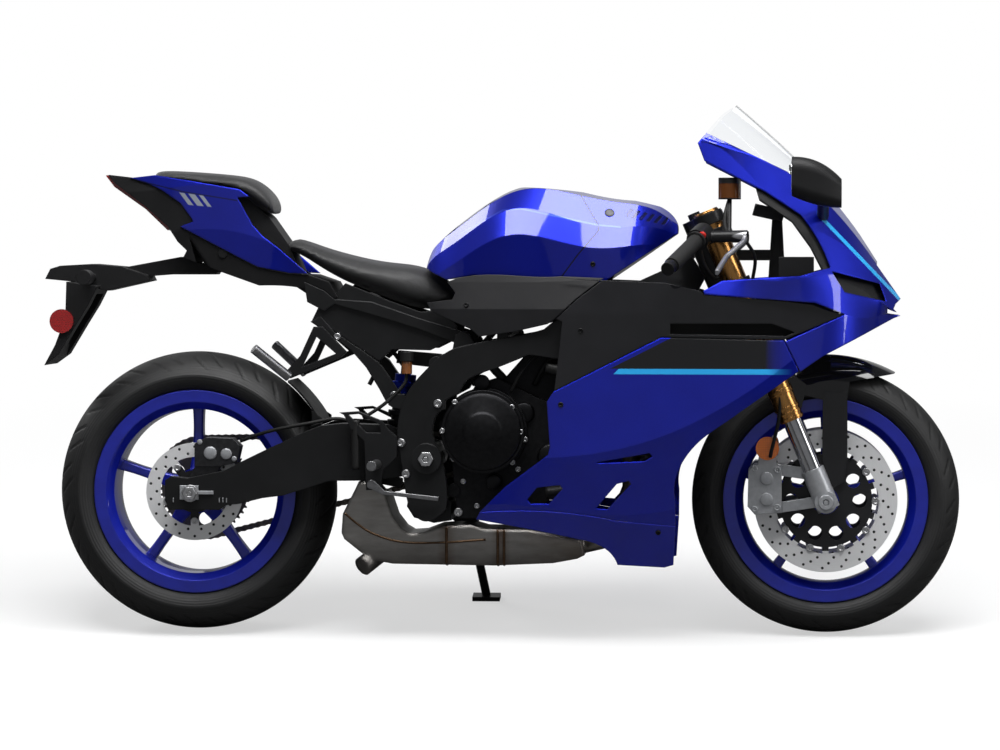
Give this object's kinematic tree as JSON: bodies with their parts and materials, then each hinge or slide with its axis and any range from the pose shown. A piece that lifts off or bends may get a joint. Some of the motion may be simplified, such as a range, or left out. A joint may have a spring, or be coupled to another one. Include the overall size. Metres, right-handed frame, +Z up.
{
  "type": "sport bike with full fairing",
  "caption": "Full-fairing sport bike leaning on its side stand, with turning wheels, steering and a folding stand.",
  "frame": {"origin": "middle of the box's bottom face, on the floor", "axes": "+X to the front, +Y to the rider's left, +Z up; the bike leans to +Y on its stand"},
  "size_m": [2.0639, 0.7368, 1.1717],
  "materials": {
    "frame_paint": "satin dark grey paint",
    "engine_cast": "painted engine castings",
    "engine_cover": "satin black engine covers",
    "radiator_core": "black finned core",
    "exhaust_steel": "raw steel with heat tint",
    "steel": "zinc plated steel",
    "shock_parts": "painted spring on a damper",
    "chain_steel": "oiled steel",
    "black_plastic": "grained black plastic",
    "dark_cast": "dark castings",
    "blue_paint": "deep metallic blue",
    "satin_cover": "satin dark grey plastic",
    "seat_cover": "grained seat cover",
    "red_lens": "red lens",
    "screen": "clear screen",
    "lamp_glass": "clear lamp",
    "gloss_black": "gloss black",
    "foot_metal": "cast foot controls",
    "gold_anodised": "gold anodised",
    "fork_chrome": "hard chrome",
    "grey_cast": "light grey castings",
    "black_metal": "black coated metal",
    "grip_rubber": "grip rubber",
    "amber_lens": "amber lens",
    "tyre_rubber": "tyre rubber",
    "blue_wheel": "deep blue paint",
    "disc_steel": "ground stainless steel"
  },
  "bodies": {
    "chassis": {"main_frame": "frame_paint", "subframe": "frame_paint", "engine_block": "engine_cast", "engine_covers": "engine_cover", "radiator": "radiator_core", "exhaust": "exhaust_steel", "swingarm": "frame_paint", "pivot_bolt": "steel", "rear_axle": "steel", "rear_shock": "shock_parts", "chain": "chain_steel", "rear_hugger": "black_plastic", "rear_caliper": "dark_cast", "fuel_tank": "blue_paint", "tank_side_covers": "satin_cover", "rider_seat": "seat_cover", "pillion_seat": "seat_cover", "tail_panels": "blue_paint", "tail_underside": "black_plastic", "rear_lights": "red_lens", "plate_bracket": "black_plastic", "upper_fairing": "blue_paint", "windscreen": "screen", "cockpit_panel": "black_plastic", "headlamp": "lamp_glass", "side_fairings": "blue_paint", "belly_pan": "blue_paint", "fairing_infill": "gloss_black", "mirrors": "black_plastic", "peg_brackets": "frame_paint", "foot_pegs": "foot_metal"},
    "steering": {"triple_clamps": "frame_paint", "fork_outer_tubes": "gold_anodised", "fork_inner_tubes": "fork_chrome", "axle_castings": "grey_cast", "front_calipers": "grey_cast", "front_fender": "gloss_black", "handlebars": "black_metal", "grips": "grip_rubber", "bar_controls": "black_metal", "fork_reflectors": "amber_lens"},
    "front_wheel": {"front_tyre": "tyre_rubber", "front_rim": "blue_wheel", "front_discs": "disc_steel"},
    "rear_wheel": {"rear_tyre": "tyre_rubber", "rear_rim": "blue_wheel", "rear_disc": "disc_steel", "rear_sprocket": "chain_steel"},
    "side_stand": {"side_stand": "black_metal"}
  },
  "joints": [
    {"name": "steering_turn", "type": "hinge", "parent": "chassis", "child": "steering", "pos_m": [0.51162, -0.02651, 0.74585], "axis": [-0.3838, 0.1603, 0.9094], "range_deg": [-27, 27]},
    {"name": "front_wheel_spin", "type": "hinge", "parent": "steering", "child": "front_wheel", "pos_m": [0.732, -0.10576, 0.29641], "axis": [0, 0.9848, -0.1736], "continuous": true},
    {"name": "rear_wheel_spin", "type": "hinge", "parent": "chassis", "child": "rear_wheel", "pos_m": [-0.688, -0.10305, 0.31178], "axis": [0, 0.9848, -0.1736], "continuous": true},
    {"name": "side_stand_fold", "type": "hinge", "parent": "chassis", "child": "side_stand", "pos_m": [-0.085, 0.05119, 0.219], "axis": [0.02, 0.9601, 0.2789], "range_deg": [0, 85]}
  ]
}
